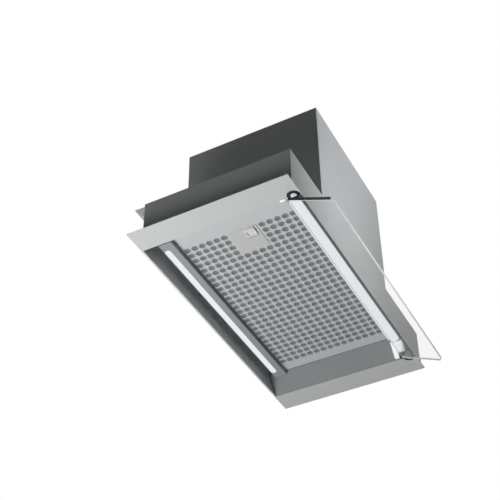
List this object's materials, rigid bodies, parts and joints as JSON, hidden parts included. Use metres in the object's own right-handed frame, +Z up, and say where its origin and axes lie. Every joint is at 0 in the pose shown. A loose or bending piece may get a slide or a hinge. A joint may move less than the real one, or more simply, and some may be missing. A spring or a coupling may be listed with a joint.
{
  "type": "range hood",
  "caption": "Built-in range hood for a wall cabinet: low flanged casing with lit intake recess, hinged perforated filter, drooping glass visor, motor housing and duct collar",
  "frame": {"origin": "centre of the four cabinet screw holes, on the upper face of the lower casing", "axes": "+X along the 600 mm width to the right as the cook sees it, +Y away from the cook to the wall, +Z up along the duct"},
  "size_m": [0.6, 0.356, 0.3973],
  "materials": {
    "silver_paint": "silver-grey powder coat, satin",
    "zinc_steel": "bright zinc plating",
    "black_plastic": "fine moulded texture",
    "black_rubber": "matt",
    "motor_casting": "die cast, bare",
    "white_plastic": "smooth moulding",
    "grey_plastic": "smooth moulding",
    "light_plastic": "translucent moulding",
    "lamp_diffuser": "opal diffuser, lit",
    "filter_aluminium": "satin anodised sheet",
    "latch_plastic": "smooth light moulding",
    "clear_glass": "clear tempered float glass, ground edges"
  },
  "bodies": {
    "hood": {"bottom_frame": "silver_paint", "cable_gland": "black_plastic", "collar_screws": "zinc_steel", "damper_rod": "zinc_steel", "duct_collar": "black_plastic", "fan_motor": "motor_casting", "fan_scroll": "zinc_steel", "front_lamp_body": "grey_plastic", "front_lamp_led_board": "white_plastic", "front_lamp_lens": "lamp_diffuser", "hinge_cap_left": "white_plastic", "hinge_cap_right": "white_plastic", "hinge_housing_left": "black_plastic", "hinge_housing_right": "black_plastic", "housing_screws": "zinc_steel", "housing_top": "silver_paint", "inlet_ring": "black_plastic", "inlet_slope_left": "silver_paint", "inlet_slope_right": "silver_paint", "lamp_end_cap_left": "white_plastic", "lamp_end_cap_right": "white_plastic", "lamp_rail_front": "silver_paint", "lamp_rail_rear": "silver_paint", "led_driver": "white_plastic", "lower_casing": "silver_paint", "motor_bracket": "zinc_steel", "motor_capacitor": "white_plastic", "motor_housing": "silver_paint", "motor_mounts": "black_rubber", "rail_screws": "zinc_steel", "rear_air_channel": "silver_paint", "rear_hanging_rail": "zinc_steel", "rear_lamp_body": "grey_plastic", "rear_lamp_led_board": "white_plastic", "rear_lamp_lens": "lamp_diffuser", "terminal_block": "white_plastic", "visor_seal": "black_rubber", "visor_switch": "black_plastic", "wiring_box": "grey_plastic", "wiring_box_lid": "grey_plastic", "wiring_gland_plate": "grey_plastic"},
    "visor": {"visor_glass": "clear_glass", "visor_edge_strip_left": "black_plastic", "visor_edge_strip_right": "light_plastic", "visor_arm_left": "black_plastic", "visor_arm_right": "light_plastic", "visor_pin_left": "zinc_steel", "visor_pin_right": "zinc_steel"},
    "filter": {"filter_panel": "filter_aluminium", "filter_frame": "filter_aluminium", "filter_mesh": "filter_aluminium", "filter_hinge_pins": "zinc_steel", "latch_cover": "latch_plastic"},
    "latch": {"latch_slide": "latch_plastic", "latch_spring": "zinc_steel"},
    "fan_wheel": {"impeller": "black_plastic", "impeller_shaft": "zinc_steel", "impeller_nut": "zinc_steel"},
    "left_flap": {"damper_flap_left": "black_plastic"},
    "right_flap": {"damper_flap_right": "black_plastic"}
  },
  "joints": [
    {"name": "visor_hinge", "type": "hinge", "parent": "hood", "child": "visor", "pos_m": [0, -0.1395, -0.0675], "axis": [1, 0, 0], "range_deg": [-23.5, 0]},
    {"name": "filter_hinge", "type": "hinge", "parent": "hood", "child": "filter", "pos_m": [0.218, 0, -0.035], "axis": [0, -1, 0], "range_deg": [0, 85]},
    {"name": "latch_slide", "type": "slide", "parent": "filter", "child": "latch", "axis": [1, 0, 0], "range_m": [0, 0.004], "stiffness_N_per_m": 600, "springref_m": -0.004},
    {"name": "fan_spin", "type": "hinge", "parent": "hood", "child": "fan_wheel", "pos_m": [0, -0.045, 0.106], "axis": [1, 0, 0], "continuous": true},
    {"name": "left_flap_hinge", "type": "hinge", "parent": "hood", "child": "left_flap", "pos_m": [0, 0.029, 0.264], "axis": [0, 1, 0], "range_deg": [0, 70]},
    {"name": "right_flap_hinge", "type": "hinge", "parent": "hood", "child": "right_flap", "pos_m": [0, 0.029, 0.264], "axis": [0, -1, 0], "range_deg": [0, 70]}
  ]
}
